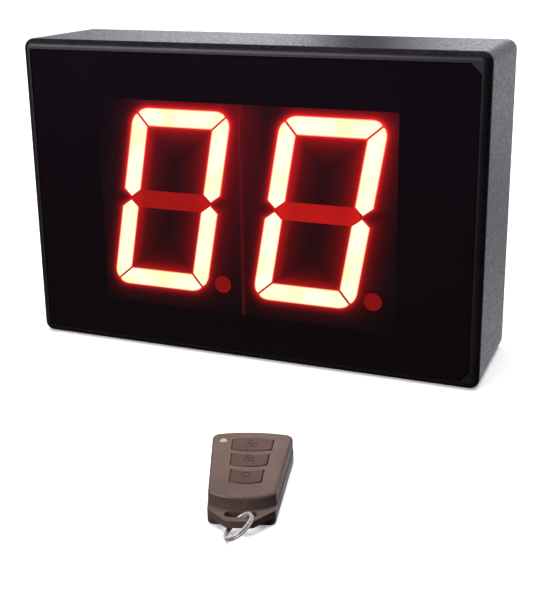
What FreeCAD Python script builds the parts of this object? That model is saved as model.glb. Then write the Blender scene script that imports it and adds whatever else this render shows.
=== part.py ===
import FreeCAD, Part

import math
import os
import re

import Sketcher

# A gym round timer with a two-digit display, and its key-fob remote. Millimetres and degrees.
# The timer stands on its base with its front to -Y. The origin is the centre of the case's bottom face.
# The timer's pieces are drawn lying on their backs: x to the right, y up the front and z out of the
# rear cover towards the window. The remote's are drawn lying too: y runs along it to its top end.

SIZES = {
    # Case and rear cover
    "case_width": 270,
    "case_height": 178,
    "case_depth": 70,
    "wall": 3,
    "corner_radius": 5.5,
    "rim_radius": 4.3,
    "cover_thickness": 3,
    "cover_edge": 0.8,
    "rib_height": 4,
    "rib_width": 2,
    "rib_end": 22,
    "fit_gap": 0.25,
    # Window
    "lip": 0.9,
    "window_drop": 0.6,
    "window_recess": 0.4,
    "window_thickness": 3,
    "window_corner": 5.5,
    "window_bevel": 0.3,
    "ledge_width": 5,
    "ledge_thickness": 2.5,
    "tape_thickness": 0.5,
    "tape_width": 3.5,
    # Screws, their bosses and the board's pillars
    "boss_radius": 5,
    "boss_inset": 7.5,
    "boss_height": 24,
    "head_radius": 2.8,
    "head_height": 1.6,
    "head_recess": 0.2,
    "head_gap": 0.3,
    "drive_arm": 1.5,
    "drive_width": 0.6,
    "drive_depth": 0.9,
    "screw_radius": 1.5,
    "cover_screw_length": 12,
    "pillar_screw_length": 6,
    "pillar_radius": 3.2,
    "pillar_gap": 6.15,
    "pillar_rise": 1,
    # Display modules, each one digit
    "display_shift": -3.3,
    "display_drop": 5.1,
    "display_gap": 5.6,
    "module_width": 89.7,
    "module_gap": 0.3,
    "module_height": 122,
    "module_depth": 16,
    "module_edge": 0.5,
    "module_board": 1.6,
    "module_seat": 1,
    "digit_side": 14.25,
    "digit_end": 7.75,
    "digit_slant": 10,
    "digit_shift": 0.3,
    "digit_rise": 3.4,
    "digit_round": 10,
    "segment_width": 10.5,
    "segment_gap": 1.2,
    "segment_mitre": 4.4,
    "segment_depth": 3,
    "point_radius": 5.1,
    "point_side": 12.8,
    "point_end": 17.3,
    "chip_side": 3,
    "chip_height": 1,
    "chip_pitch": 4.2,
    "pin_radius": 0.4,
    "pin_inset": 6,
    "pin_pitch": 10.16,
    "pin_tail": 1.5,
    # Main board and what is soldered to its back
    "board_edge": 6,
    "board_thickness": 1.6,
    "board_hole": 1.7,
    "leg_width": 0.6,
    "leg_thickness": 0.4,
    "leg_pitch": 2.54,
    "package_gap": 0.6,
    "package_height": 3.4,
    "package_width": 7.6,
    "controller_length": 35.6,
    "driver_length": 22.9,
    "controller_y": 6,
    "driver_y": 36,
    "driver_middle": -4,
    "driver_pitch": 36,
    "crystal_x": -12,
    "crystal_y": -24,
    "crystal_length": 11,
    "crystal_width": 4.6,
    "crystal_height": 3.5,
    "capacitor_x": -70,
    "capacitor_y": -6,
    "capacitor_pitch": 16,
    "capacitor_radius": 5,
    "capacitor_height": 16,
    "capacitor_edge": 0.8,
    "regulator_x": -46,
    "regulator_y": -30,
    "regulator_width": 10,
    "regulator_tab": 1.3,
    "regulator_body": 3.2,
    "regulator_height": 15.5,
    "regulator_block": 9.3,
    "regulator_lift": 4,
    "sink_width": 22,
    "sink_depth": 12,
    "sink_height": 25,
    "sink_plate": 1.6,
    "sink_fin": 1.2,
    "receiver_x": 60,
    "receiver_y": 40,
    "receiver_length": 30,
    "receiver_width": 14,
    "receiver_lift": 2.6,
    "receiver_board": 1,
    "can_side": 9,
    "can_height": 2.5,
    "antenna_radius": 0.6,
    "antenna_inset": 3,
    "antenna_lift": 10,
    "antenna_climb": 20,
    "antenna_run": 143,
    "lead_radius": 0.8,
    "lead_bend": 10,
    "power_header_x": -88,
    "power_header_y": -34,
    "buzzer_header_x": -74,
    "buzzer_header_y": -52,
    "header_length": 8,
    "header_width": 5,
    "header_height": 7,
    # Buzzer, wall keyholes and power inlet
    "buzzer_x": -72,
    "buzzer_y": 46,
    "buzzer_radius": 12,
    "buzzer_height": 9.5,
    "buzzer_mouth": 2.5,
    "buzzer_mouth_depth": 3,
    "sound_hole": 1.1,
    "sound_ring": 6,
    "keyhole_span": 160,
    "keyhole_height": 130,
    "keyhole_entry": 4.5,
    "keyhole_slot": 2.2,
    "keyhole_travel": 9,
    "inlet_rise": 12,
    "inlet_z": 24,
    "inlet_flange": 7,
    "inlet_flange_thickness": 1.5,
    "inlet_barrel": 5.4,
    "inlet_hole_gap": 0.1,
    "inlet_length": 14,
    "inlet_bore": 2.75,
    "inlet_bore_depth": 10,
    "inlet_pin": 1.05,
    "inlet_pin_length": 9,
    "inlet_nut_radius": 8,
    "inlet_nut_thickness": 2.5,
    "inlet_tab": 4,
    # Remote: where it lies
    "remote_x": 62.3,
    "remote_y": -173.6,
    "remote_angle": 18,
    # Remote: shells
    "fob_top": 30,
    "fob_top_half": 19,
    "fob_top_rise": 2.6,
    "fob_waist": -26,
    "fob_waist_half": 14.2,
    "fob_tail": -35.4,
    "fob_tail_half": 5.5,
    "fob_corner": 4,
    "fob_lower_height": 6.5,
    "fob_upper_height": 6.5,
    "fob_upper_inset": 0.3,
    "fob_upper_end": -22.5,
    "fob_upper_end_rise": 4.6,
    "fob_end_corner": 3,
    "fob_waist_round": 2,
    "fob_upper_round": 1.6,
    "fob_lower_round": 1.2,
    "fob_wall": 1.5,
    "fob_cavity_low": -20,
    "fob_rest": 2,
    "fob_rest_width": 6,
    "tail_low": 3.4,
    "tail_start": -27,
    "slot_length": 13.5,
    "slot_width": 4.5,
    "tail_bar": 3.2,
    # Remote: keys and what they press
    "key_gap": 0.35,
    "key_proud": 0.5,
    "key_round": 0.5,
    "key_flange": 1,
    "key_flange_thickness": 1.2,
    "key_stop_gap": 0.1,
    "key_travel": 0.6,
    "key_corner": 1.2,
    "key_taper": 0.35,
    "fob_key_x": 0.6,
    "top_key_y": 19,
    "top_key_half": 9.25,
    "top_key_side": 9.3,
    "middle_key_y": 5.3,
    "middle_key_half": 8.25,
    "middle_key_side": 10.2,
    "low_key_y": -9.5,
    "low_key_half": 7,
    "low_key_side": 10.2,
    "key_bulge": 1.6,
    "fob_board_bottom": 5.4,
    "fob_board_thickness": 1,
    "fob_board_gap": 0.4,
    "switch_side": 6,
    "switch_height": 2,
    "plunger_radius": 1.7,
    "plunger_gap": 0.05,
    "plunger_depth": 0.5,
    "cell_radius": 10,
    "cell_height": 3.2,
    "cell_y": -2,
    "clip_thickness": 0.4,
    "clip_width": 6,
    "lamp_x": -12.8,
    "lamp_y": 22.9,
    "lamp_radius": 2.1,
    "lamp_proud": 0.3,
    "fob_lamp_gap": 0.1,
    "fob_package_height": 1.4,
    "encoder_x": 9,
    "encoder_y": -10,
    "encoder_width": 4,
    "encoder_length": 5,
    "resonator_x": 12,
    "resonator_y": 21,
    "resonator_side": 5,
    "cell_edge": 0.3,
    "fob_screw_x": 13,
    "fob_screw_y": 10,
    "fob_screw_radius": 0.9,
    "fob_screw_head": 1.8,
    "fob_head_height": 0.9,
    "fob_screw_recess": 1.2,
    "fob_screw_length": 8,
    "fob_boss_radius": 2.2,
    # Remote: key ring
    "ring_radius": 6.8,
    "ring_wire": 0.55,
    "ring_turn_pitch": 1.05,
    "ring_tilt": 38,
    "ring_reach": 3.2,
}

SMALL = 1e-4
WORD = re.compile(r"[a-z][a-z_]*")

document = FreeCAD.newDocument("round_timer")
sheet = document.addObject("Spreadsheet::Sheet", "dims")
for row, (name, size) in enumerate(SIZES.items(), start=1):
    sheet.set(f"A{row}", name)
    sheet.set(f"B{row}", str(size))
    sheet.setAlias(f"B{row}", name)
document.recompute()

pieces = []


def bound(expression):
    """The expression, with each size read from the sheet."""
    return WORD.sub(lambda word: f"dims.{word[0]}" if word[0] in SIZES else word[0], str(expression))


def value(expression):
    """What an expression comes to now."""
    return float(sheet.evalExpression(bound(expression)))


# Drawing -----------------------------------------------------------------------------------------


def new_body(name):
    body = document.addObject("PartDesign::Body", name)
    body.Label = name
    pieces.append(body)
    return body


def new_sketch(body, name, level="0", plane="XY_Plane"):
    """A sketch on one of the body's own origin planes, moved along the plane's normal to level."""
    sketch = body.newObject("Sketcher::SketchObject", f"{body.Name}_{name}")
    support = next(item for item in body.Origin.OriginFeatures if item.Role == plane)
    sketch.AttachmentSupport = (support, [""])
    sketch.MapMode = "FlatFace"
    sketch.setExpression("AttachmentOffset.Base.z", bound(level))
    return sketch


def constrain(sketch, rules):
    """Adds constraints. The last item of each rule is its value, which follows the sheet."""
    first = sketch.ConstraintCount
    sketch.addConstraint([Sketcher.Constraint(*rule[:-1], value(rule[-1])) for rule in rules])
    for number, rule in enumerate(rules, start=first):
        sketch.setExpression(f"Constraints[{number}]", bound(rule[-1]))


def placed(edge, end, x, y):
    """The rules that place one point of an edge."""
    return [("DistanceX", -1, 1, edge, end, x), ("DistanceY", -1, 1, edge, end, y)]


def outline(sketch, corners):
    """A closed outline, anticlockwise. A corner is (x, y) before a straight edge and (x, y, rise)
    before an arc, which bulges out by rise, or in where rise is negative."""
    first = sketch.GeometryCount
    points = [FreeCAD.Vector(value(corner[0]), value(corner[1]), 0) for corner in corners]
    edges = []
    ends = []
    for number, corner in enumerate(corners):
        start = points[number]
        stop = points[(number + 1) % len(corners)]
        if len(corner) == 2:
            edges.append(Part.LineSegment(start, stop))
            ends.append((1, 2))
            continue
        chord = stop - start
        outward = FreeCAD.Vector(chord.y, -chord.x, 0).normalize()
        middle = (start + stop) * 0.5 + outward * value(corner[2])
        bulges_out = value(corner[2]) > 0
        edges.append(Part.Arc(start, middle, stop) if bulges_out else Part.Arc(stop, middle, start))
        ends.append((1, 2) if bulges_out else (2, 1))
    meetings = []
    rules = []
    for number, corner in enumerate(corners):
        following = (number + 1) % len(corners)
        begins, finishes = ends[number]
        meeting = (first + number, finishes, first + following, ends[following][0])
        meetings.append(Sketcher.Constraint("Coincident", *meeting))
        rules += placed(first + number, begins, corner[0], corner[1])
        if len(corner) == 3:
            rules.append(arc_centre(first + number, corner, corners[following]))
    sketch.addGeometry(edges)
    sketch.addConstraint(meetings)
    constrain(sketch, rules)


def arc_centre(edge, corner, after):
    """The rule that fixes the centre of an arc whose chord lies along x or y."""
    across = abs(value(after[0]) - value(corner[0])) > abs(value(after[1]) - value(corner[1]))
    along, over = (0, 1) if across else (1, 0)
    chord = f"(({after[along]}) - ({corner[along]}))"
    outward = "-" if across == (value(chord) > 0) else "+"
    offset = f"(({corner[2]})/2 - {chord}^2/(8*({corner[2]})))"
    kind = "DistanceY" if across else "DistanceX"
    return (kind, -1, 1, edge, 3, f"({corner[over]}) {outward} {offset}")


def rectangle(sketch, x_low, x_high, y_low, y_high):
    outline(sketch, [(x_low, y_low), (x_high, y_low), (x_high, y_high), (x_low, y_high)])


def centred(sketch, x, y, width, height):
    """A rectangle about (x, y)."""
    rectangle(
        sketch,
        f"({x}) - ({width})/2",
        f"({x}) + ({width})/2",
        f"({y}) - ({height})/2",
        f"({y}) + ({height})/2",
    )


def circles(sketch, centres, radius):
    first = sketch.GeometryCount
    normal = FreeCAD.Vector(0, 0, 1)
    points = [FreeCAD.Vector(value(x), value(y), 0) for x, y in centres]
    sketch.addGeometry([Part.Circle(point, normal, value(radius)) for point in points])
    rules = []
    for edge, (x, y) in enumerate(centres, start=first):
        rules += placed(edge, 3, x, y)
        rules.append(("Radius", edge, radius))
    constrain(sketch, rules)


def pad(body, sketch, length, downward=False):
    feature = body.newObject("PartDesign::Pad", f"{sketch.Name}_pad")
    feature.Profile = sketch
    feature.Reversed = downward
    feature.setExpression("Length", bound(length))
    return feature


def cut(body, sketch, depth, upward=True):
    """A pocket from the sketch along its plane's normal, or against it."""
    feature = body.newObject("PartDesign::Pocket", f"{sketch.Name}_cut")
    feature.Profile = sketch
    feature.Reversed = upward
    feature.setExpression("Length", bound(depth))


def edges_where(body, test):
    return [f"Edge{number}" for number, edge in enumerate(body.Shape.Edges, start=1) if test(edge.BoundBox)]


def sixfold(x, y, radius):
    """Six points evenly round (x, y)."""
    turns = range(0, 360, 60)
    return [(f"({x}) + ({radius})*cos({turn})", f"({y}) + ({radius})*sin({turn})") for turn in turns]


def soften(body, kind, size, test):
    """A fillet or a chamfer on the body's edges whose boxes pass the test."""
    document.recompute()
    base = (body.Tip, edges_where(body, test))
    feature = body.newObject(f"PartDesign::{kind}", f"{body.Name}_{kind}")
    feature.Base = base
    feature.setExpression("Radius" if kind == "Fillet" else "Size", bound(size))


def upright(box):
    return box.ZLength > SMALL and box.XLength < SMALL and box.YLength < SMALL


def level_at(height):
    """A test for edges that lie flat at a height."""
    z = value(height)
    return lambda box: box.ZLength < SMALL and abs(box.ZMin - z) < SMALL


def stand(piece):
    """Turns a piece of the timer from lying on its back to standing on its base."""
    piece.Placement = FreeCAD.Placement(FreeCAD.Vector(), FreeCAD.Rotation(FreeCAD.Vector(1, 0, 0), 90))
    piece.setExpression("Placement.Base.y", bound("case_depth/2"))


def lay(piece):
    """Puts a piece of the remote where the remote lies."""
    piece.setExpression("Placement.Base.x", bound("remote_x"))
    piece.setExpression("Placement.Base.y", bound("remote_y"))
    piece.setExpression("Placement.Rotation.Angle", bound("remote_angle"))


# Levels of the timer, from the back to the front ---------------------------------------------------

WINDOW_FRONT = "(case_depth - window_recess)"
WINDOW_BACK = f"({WINDOW_FRONT} - window_thickness)"
LEDGE_FRONT = f"({WINDOW_BACK} - tape_thickness)"
LEDGE_BACK = f"({LEDGE_FRONT} - ledge_thickness)"
MODULE_FACE = f"({WINDOW_BACK} - display_gap)"
MODULE_BACK = f"({MODULE_FACE} - module_depth)"
MODULE_BOARD_BACK = f"({MODULE_BACK} - module_board)"
BOARD_FRONT = f"({MODULE_BOARD_BACK} - module_seat)"
BOARD_BACK = f"({BOARD_FRONT} - board_thickness)"
HEAD_TOP = "(head_recess + head_height)"

# Places on the timer's front view ------------------------------------------------------------------

HALF_WIDTH = "(case_width/2)"
WINDOW_HALF = f"({HALF_WIDTH} - rim_radius - lip)"
WINDOW_LOW = "(rim_radius + lip - window_drop)"
WINDOW_HIGH = "(case_height - rim_radius - lip - window_drop)"
DISPLAY_Y = "(case_height/2 - display_drop)"
MODULE_X = {
    "left": "(display_shift - (module_width + module_gap)/2)",
    "right": "(display_shift + (module_width + module_gap)/2)",
}


def four(x, y, half_x, half_y):
    """The corners of a rectangle about (x, y)."""
    return [(f"{x} {sx} {half_x}", f"{y} {sy} {half_y}") for sx in "-+" for sy in "-+"]


PILLAR_X = "(module_width + module_gap/2 + pillar_gap)"
PILLAR_Y = "(module_height/2 + pillar_rise)"
INLET_Y = f"({DISPLAY_Y} - {PILLAR_Y} + inlet_rise)"
BOSSES = four("0", "case_height/2", f"({HALF_WIDTH} - boss_inset)", "(case_height/2 - boss_inset)")
PILLARS = four("display_shift", DISPLAY_Y, PILLAR_X, PILLAR_Y)
KEYHOLES = [(f"{sign}keyhole_span/2", "keyhole_height") for sign in "-+"]


def window_outline(sketch, clearance):
    """The window's rectangle with its right corners cut off, grown by a clearance."""
    side = f"({WINDOW_HALF} + {clearance})"
    low = f"({WINDOW_LOW} - {clearance})"
    high = f"({WINDOW_HIGH} + {clearance})"
    corner = "window_corner"
    outline(
        sketch,
        [
            (f"-{side}", low),
            (f"{side} - {corner}", low),
            (side, f"{low} + {corner}"),
            (side, f"{high} - {corner}"),
            (f"{side} - {corner}", high),
            (f"-{side}", high),
        ],
    )


def inside_window(sketch, inset):
    """A rectangle inset from the window's edge."""
    rectangle(
        sketch,
        f"-{WINDOW_HALF} + {inset}",
        f"{WINDOW_HALF} - {inset}",
        f"{WINDOW_LOW} + {inset}",
        f"{WINDOW_HIGH} - {inset}",
    )


# Case, window and rear cover -----------------------------------------------------------------------


def make_case_shell():
    """A deep box, open at the back, whose front is a thin rim round the window."""
    shell = new_body("case_shell")
    block = new_sketch(shell, "block", "cover_thickness")
    rectangle(block, f"-{HALF_WIDTH}", HALF_WIDTH, "0", "case_height")
    pad(shell, block, "case_depth - cover_thickness")
    soften(shell, "Fillet", "corner_radius", upright)
    soften(shell, "Fillet", "rim_radius", level_at("case_depth"))
    cavity = new_sketch(shell, "cavity", "cover_thickness")
    rectangle(cavity, f"-{HALF_WIDTH} + wall", f"{HALF_WIDTH} - wall", "wall", "case_height - wall")
    cut(shell, cavity, f"{LEDGE_BACK} - cover_thickness")
    recess = new_sketch(shell, "recess", LEDGE_FRONT)
    window_outline(recess, "fit_gap")
    cut(shell, recess, "case_depth")
    opening = new_sketch(shell, "opening", LEDGE_BACK)
    inside_window(opening, "ledge_width")
    cut(shell, opening, "ledge_thickness")
    bosses = new_sketch(shell, "bosses", "cover_thickness")
    circles(bosses, BOSSES, "boss_radius")
    pad(shell, bosses, "boss_height")
    pilots = new_sketch(shell, "pilots", "cover_thickness")
    circles(pilots, BOSSES, "screw_radius")
    cut(shell, pilots, f"{HEAD_TOP} + cover_screw_length - cover_thickness")
    inlet = new_sketch(shell, "inlet", f"-{HALF_WIDTH}", "YZ_Plane")
    circles(inlet, [(INLET_Y, "inlet_z")], "inlet_barrel + inlet_hole_gap")
    cut(shell, inlet, "wall")
    stand(shell)


def make_window():
    """The dark acrylic window, and the double-sided tape that holds it on the case's ledge."""
    panel = new_body("window_panel")
    sheet_outline = new_sketch(panel, "sheet", WINDOW_BACK)
    window_outline(sheet_outline, "0")
    pad(panel, sheet_outline, "window_thickness")
    soften(panel, "Chamfer", "window_bevel", level_at(WINDOW_FRONT))
    stand(panel)
    tape = new_body("window_tape")
    band = new_sketch(tape, "band", LEDGE_FRONT)
    window_outline(band, "0")
    inside_window(band, "tape_width")
    pad(tape, band, "tape_thickness")
    stand(tape)


def make_rear_cover():
    cover = new_body("rear_cover")
    plate = new_sketch(cover, "plate")
    rectangle(plate, f"-{HALF_WIDTH}", HALF_WIDTH, "0", "case_height")
    pad(cover, plate, "cover_thickness")
    soften(cover, "Fillet", "corner_radius", upright)
    soften(cover, "Chamfer", "cover_edge", level_at("0"))
    ribs = new_sketch(cover, "ribs", "cover_thickness")
    inner_x = f"({HALF_WIDTH} - wall - fit_gap)"
    inner_y = "(wall + fit_gap)"
    top_rib = f"(case_height - {inner_y})"
    for low, high in ((inner_y, f"{inner_y} + rib_width"), (f"{top_rib} - rib_width", top_rib)):
        rectangle(ribs, f"-{HALF_WIDTH} + rib_end", f"{HALF_WIDTH} - rib_end", low, high)
    rectangle(ribs, f"-{inner_x}", f"-{inner_x} + rib_width", f"{INLET_Y} + rib_end", "case_height - rib_end")
    rectangle(ribs, f"{inner_x} - rib_width", inner_x, "rib_end", "case_height - rib_end")
    pad(cover, ribs, "rib_height")
    for name, centres in (("corner", BOSSES), ("pillar", PILLARS)):
        counterbores = new_sketch(cover, f"{name}_counterbores")
        circles(counterbores, centres, "head_radius + head_gap")
        cut(cover, counterbores, HEAD_TOP)
        holes = new_sketch(cover, f"{name}_holes")
        circles(holes, centres, "screw_radius")
        cut(cover, holes, "cover_thickness")
    entries = new_sketch(cover, "keyhole_entries")
    circles(entries, KEYHOLES, "keyhole_entry")
    cut(cover, entries, "cover_thickness")
    slots = new_sketch(cover, "keyhole_slots")
    for x, y in KEYHOLES:
        left = f"{x} - keyhole_slot"
        right = f"{x} + keyhole_slot"
        end = f"{y} + keyhole_travel"
        outline(slots, [(left, y), (right, y), (right, end, "keyhole_slot"), (left, end)])
    cut(cover, slots, "cover_thickness")
    mouths = new_sketch(cover, "sound_holes")
    circles(mouths, [("buzzer_x", "buzzer_y"), *sixfold("buzzer_x", "buzzer_y", "sound_ring")], "sound_hole")
    cut(cover, mouths, "cover_thickness")
    stand(cover)


def cross(sketch, x, y):
    """The outline of a cross-head screw's recess."""
    near, far = "drive_width/2", "drive_arm"
    quarter = [(far, f"-{near}"), (far, near), (near, near)]
    corners = []
    for _ in range(4):
        corners += quarter
        quarter = [(f"-({b})", a) for a, b in quarter]
    outline(sketch, [(f"({x}) + {a}", f"({y}) + {b}") for a, b in corners])


def make_screws(name, centres, back, length, head_first=True):
    """Pan-head cross-recessed screws, their heads at the level back, pointing to the front, or with
    head_first false, heads in front of the level and pointing to the back."""
    screws = new_body(name)
    heads = new_sketch(screws, "heads", back)
    circles(heads, centres, "head_radius")
    pad(screws, heads, "head_height", downward=not head_first)
    shanks = new_sketch(screws, "shanks", back)
    circles(shanks, centres, "screw_radius")
    pad(screws, shanks, f"head_height + {length}", downward=not head_first)
    drives = new_sketch(screws, "drives", back)
    for x, y in centres:
        cross(drives, x, y)
    cut(screws, drives, "drive_depth", upward=head_first)
    stand(screws)


def make_pillars():
    """Hexagonal brass pillars between the rear cover and the main board, tapped at both ends."""
    pillars = new_body("board_pillars")
    hexagons = new_sketch(pillars, "hexagons", "cover_thickness")
    for x, y in PILLARS:
        outline(hexagons, sixfold(x, y, "pillar_radius"))
    pad(pillars, hexagons, f"{BOARD_BACK} - cover_thickness")
    for name, start in (("back", "cover_thickness"), ("front", f"{BOARD_BACK} - pillar_screw_length")):
        threads = new_sketch(pillars, f"{name}_threads", start)
        circles(threads, PILLARS, "screw_radius")
        cut(pillars, threads, "pillar_screw_length")
    stand(pillars)


# Display modules -----------------------------------------------------------------------------------


def segment_shapes():
    """The seven segments of an upright digit about its centre, as lists of corners."""
    half = "(module_width/2 - digit_side)"
    top = "(module_height/2 - digit_end)"
    wide = "segment_width"
    gap = "segment_gap*sin(45)"
    inner_corner = (f"-{half} + {wide}", f"{top} - {wide}")

    def corner(turn, across="0", down="0"):
        """A point on the rounded outer corner at a turn from its start on the digit's end."""
        x = f"-{half} + digit_round*(1 - sin({turn})) + {across}"
        y = f"{top} - digit_round*(1 - cos({turn})) - {down}"
        return x, y

    bar = [
        corner(0),
        corner(15),
        corner(30),
        corner(45, across=gap),
        (f"{inner_corner[0]} + {gap}", inner_corner[1]),
    ]
    bar += [(f"-({x})", y) for x, y in reversed(bar)]
    post = [
        (f"-{half}", "segment_gap + segment_mitre"),
        (f"-{half} + {wide}/2", "segment_gap"),
        (f"-{half} + {wide}", "segment_gap + segment_mitre"),
        (inner_corner[0], f"{inner_corner[1]} - {gap}"),
        corner(45, down=gap),
        corner(60),
        corner(75),
        corner(90),
    ]
    waist = [
        (f"-{half} + {wide}/2 + {gap}", "0"),
        (f"-{half} + {wide} + {gap}", f"-{wide}/2"),
        (f"{half} - {wide} - {gap}", f"-{wide}/2"),
        (f"{half} - {wide}/2 - {gap}", "0"),
        (f"{half} - {wide} - {gap}", f"{wide}/2"),
        (f"-{half} + {wide} + {gap}", f"{wide}/2"),
    ]

    def turned(corners, x_sign, y_sign):
        return [(f"{x_sign}*({x})", f"{y_sign}*({y})") for x, y in corners]

    return {
        "a": bar,
        "b": turned(post, -1, 1),
        "c": turned(post, -1, -1),
        "d": turned(bar, 1, -1),
        "e": turned(post, 1, -1),
        "f": post,
        "g": waist,
    }


SEGMENTS = segment_shapes()


def on_digit(side, x, y):
    """A point of an upright digit, slanted and moved to its module."""
    return (
        f"{MODULE_X[side]} + digit_shift + ({x}) + ({y})*tan(digit_slant)",
        f"{DISPLAY_Y} + digit_rise + ({y})",
    )


def draw_segments(sketch, side, letters):
    for letter in letters:
        outline(sketch, [on_digit(side, x, y) for x, y in SEGMENTS[letter]])


def decimal_point(side):
    x = f"{MODULE_X[side]} + module_width/2 - point_side"
    return [(x, f"{DISPLAY_Y} - module_height/2 + point_end")]


def module_pins(side):
    columns = [f"{MODULE_X[side]} + {column}*pin_pitch" for column in range(-2, 3)]
    return [(x, f"{DISPLAY_Y} {sign} (module_height/2 - pin_inset)") for x in columns for sign in "-+"]


def make_module(side):
    """One digit: a black housing with light wells, cast diffusers in their mouths, and a small
    circuit board with its light-emitting chips and pins."""
    housing = new_body(f"{side}_digit_housing")
    block = new_sketch(housing, "block", MODULE_BACK)
    centred(block, MODULE_X[side], DISPLAY_Y, "module_width", "module_height")
    pad(housing, block, "module_depth")
    soften(housing, "Chamfer", "module_edge", level_at(MODULE_FACE))
    wells = new_sketch(housing, "wells", MODULE_BACK)
    draw_segments(wells, side, SEGMENTS)
    circles(wells, decimal_point(side), "point_radius")
    cut(housing, wells, "module_depth")
    stand(housing)

    lit = new_body(f"{side}_lit_segments")
    bars = new_sketch(lit, "bars", f"{MODULE_FACE} - segment_depth")
    draw_segments(bars, side, "abcdef")
    pad(lit, bars, "segment_depth")
    stand(lit)

    idle = new_body(f"{side}_idle_segments")
    bars = new_sketch(idle, "bars", f"{MODULE_FACE} - segment_depth")
    draw_segments(bars, side, "g")
    circles(bars, decimal_point(side), "point_radius")
    pad(idle, bars, "segment_depth")
    stand(idle)

    board = new_body(f"{side}_module_board")
    card = new_sketch(board, "card", MODULE_BOARD_BACK)
    centred(card, MODULE_X[side], DISPLAY_Y, "module_width", "module_height")
    pad(board, card, "module_board")
    stand(board)

    pins = new_body(f"{side}_module_pins")
    wires = new_sketch(pins, "wires", f"{BOARD_BACK} - pin_tail")
    circles(wires, module_pins(side), "pin_radius")
    pad(pins, wires, f"{MODULE_BOARD_BACK} - {BOARD_BACK} + pin_tail")
    stand(pins)
    make_light_chips(side)


def make_light_chips(side):
    """Four light-emitting chips on the module's board behind each segment, two behind the point."""
    chip_side = value("chip_side")
    height = value("chip_height")
    floor = value(MODULE_BACK)
    half_width = value("module_width/2 - digit_side")
    half_height = value("module_height/2 - digit_end")
    bar = value("segment_width")
    reach = half_width - bar / 2
    middle = half_height / 2
    top = half_height - bar / 2
    span = half_width - bar
    rise = middle - bar
    centres = []
    for step in (-1, -1 / 3, 1 / 3, 1):
        centres += [on_digit(side, step * span, level) for level in (-top, 0, top)]
        centres += [on_digit(side, x, y + step * rise) for x in (-reach, reach) for y in (-middle, middle)]
    point_x, point_y = decimal_point(side)[0]
    centres += [(f"{point_x} {sign} chip_pitch/2", point_y) for sign in "-+"]
    boxes = []
    for x, y in centres:
        corner = FreeCAD.Vector(value(x) - chip_side / 2, value(y) - chip_side / 2, floor)
        boxes.append(Part.makeBox(chip_side, chip_side, height, corner))
    chips = document.addObject("Part::Feature", f"{side}_light_chips")
    chips.Label = f"{side}_light_chips"
    chips.Shape = Part.makeCompound(boxes)
    pieces.append(chips)
    stand(chips)


# Main board ----------------------------------------------------------------------------------------


def make_main_board():
    board = new_body("main_board")
    card = new_sketch(board, "card", BOARD_BACK)
    half_width = f"({PILLAR_X} + board_edge)"
    half_height = f"({PILLAR_Y} + board_edge)"
    centred(card, "display_shift", DISPLAY_Y, f"2*{half_width}", f"2*{half_height}")
    circles(card, PILLARS, "board_hole")
    circles(card, module_pins("left") + module_pins("right"), "pin_radius")
    pad(board, card, "board_thickness")
    stand(board)


def on_board(x, y):
    """A point given from the middle of the main board."""
    return (f"display_shift + ({x})", f"{DISPLAY_Y} + ({y})")


def make_packages(name, centres, length, legs):
    """Dual-in-line packages on the back of the main board, with so many legs a side."""
    chips = new_body(name)
    cases = new_sketch(chips, "cases", f"{BOARD_BACK} - package_gap")
    for x, y in centres:
        centred(cases, x, y, length, "package_width")
    pad(chips, cases, "package_height", downward=True)
    feet = new_sketch(chips, "legs", BOARD_BACK)
    for x, y in centres:
        first = f"{x} - {legs - 1}*leg_pitch/2"
        for sign in "-+":
            row = f"{y} {sign} (package_width + leg_thickness)/2"
            centred(feet, first, row, "leg_width", "leg_thickness")
    leg_pad = pad(chips, feet, "package_gap + package_height/2", downward=True)
    pattern = chips.newObject("PartDesign::LinearPattern", f"{name}_rows")
    pattern.Originals = [leg_pad]
    pattern.Direction = (next(item for item in chips.Origin.OriginFeatures if item.Role == "X_Axis"), [""])
    pattern.Occurrences = legs
    pattern.setExpression("Length", bound(f"{legs - 1}*leg_pitch"))
    chips.Tip = pattern
    stand(chips)


def make_crystal():
    crystal = new_body("crystal")
    x, y = on_board("crystal_x", "crystal_y")
    can = new_sketch(crystal, "can", BOARD_BACK)
    straight = "(crystal_length - crystal_width)/2"
    half = "crystal_width/2"
    corners = [
        (f"{x} - {straight}", f"{y} - {half}"),
        (f"{x} + {straight}", f"{y} - {half}", half),
        (f"{x} + {straight}", f"{y} + {half}"),
        (f"{x} - {straight}", f"{y} + {half}", half),
    ]
    outline(can, corners)
    pad(crystal, can, "crystal_height", downward=True)
    stand(crystal)


def make_capacitors():
    capacitors = new_body("capacitors")
    cans = new_sketch(capacitors, "cans", BOARD_BACK)
    centres = [on_board("capacitor_x", f"capacitor_y {sign} capacitor_pitch/2") for sign in "-+"]
    circles(cans, centres, "capacitor_radius")
    pad(capacitors, cans, "capacitor_height", downward=True)
    soften(capacitors, "Fillet", "capacitor_edge", level_at(f"{BOARD_BACK} - capacitor_height"))
    stand(capacitors)


REGULATOR = on_board("regulator_x", "regulator_y")


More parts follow.
